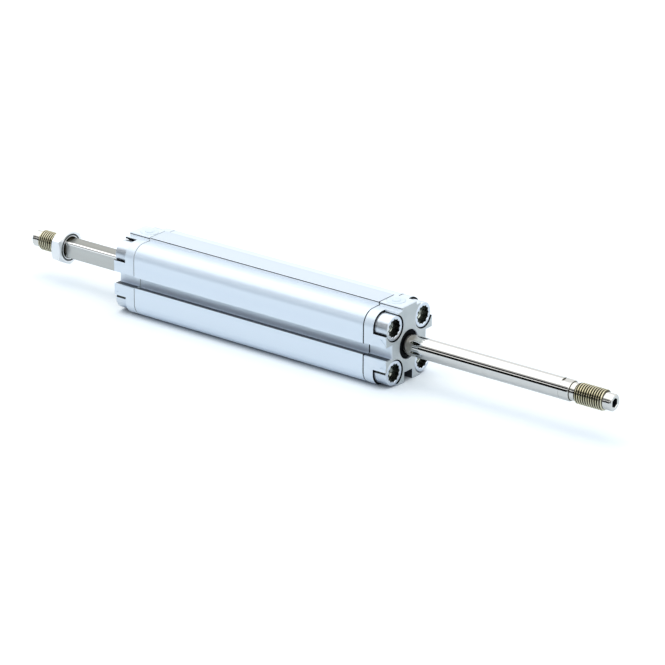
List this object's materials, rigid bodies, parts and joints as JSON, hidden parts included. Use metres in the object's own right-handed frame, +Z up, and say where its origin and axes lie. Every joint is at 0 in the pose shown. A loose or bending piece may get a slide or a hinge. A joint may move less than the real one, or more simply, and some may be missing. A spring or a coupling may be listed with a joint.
{
  "type": "compact pneumatic cylinder with a through rod",
  "caption": "Compact double-acting air cylinder with a through rod: square anti-rotation rod with lock nut at one end, long round threaded rod at the other.",
  "frame": {"origin": "centre of the mounting face of the cap at the round rod's end, on the rod axis", "axes": "+X along the rod, out of the round rod's end; +Z up, out of the raised band with the air ports; +Y across the body"},
  "size_m": [0.3412, 0.036, 0.0383],
  "materials": {
    "barrel_aluminium": "satin anodised extrusion with fine lines along it",
    "cap_aluminium": "satin anodised, machined end face",
    "zinc_plated_screws": "bright zinc-plated turned steel",
    "bronze_bush": "sintered bronze, oiled",
    "black_rubber": "matte moulded rubber",
    "pale_plastic": "pale moulded plastic",
    "chromed_rod": "hard chromed and polished",
    "square_rod_steel": "ground stainless steel",
    "zinc_plated_nut": "bright zinc-plated steel",
    "piston_aluminium": "turned",
    "magnet_compound": "plastic-bonded magnet, dark grey",
    "guide_plastic": "filled plastic, dark green-grey"
  },
  "bodies": {
    "housing": {"barrel": "barrel_aluminium", "round_rod_cap": "cap_aluminium", "square_rod_cap": "cap_aluminium", "round_cap_screws": "zinc_plated_screws", "square_cap_screws": "zinc_plated_screws", "round_rod_bush": "bronze_bush", "square_rod_bush": "bronze_bush", "round_rod_wiper": "black_rubber", "square_rod_wiper": "black_rubber", "round_cap_seal": "black_rubber", "square_cap_seal": "black_rubber", "round_end_bumper": "black_rubber", "square_end_bumper": "black_rubber", "round_end_port_plug": "pale_plastic", "square_end_port_plug": "pale_plastic"},
    "piston_rod": {"round_rod": "chromed_rod", "square_rod": "square_rod_steel", "lock_nut": "zinc_plated_nut", "piston_round_half": "piston_aluminium", "piston_square_half": "piston_aluminium", "piston_magnet": "magnet_compound", "piston_guide_ring": "guide_plastic", "piston_round_side_seal": "black_rubber", "piston_square_side_seal": "black_rubber", "stud_seal": "black_rubber"}
  },
  "joints": [
    {"name": "rod_slide", "type": "slide", "parent": "housing", "child": "piston_rod", "axis": [1, 0, 0], "range_m": [-0.0863, 0.0387]}
  ]
}
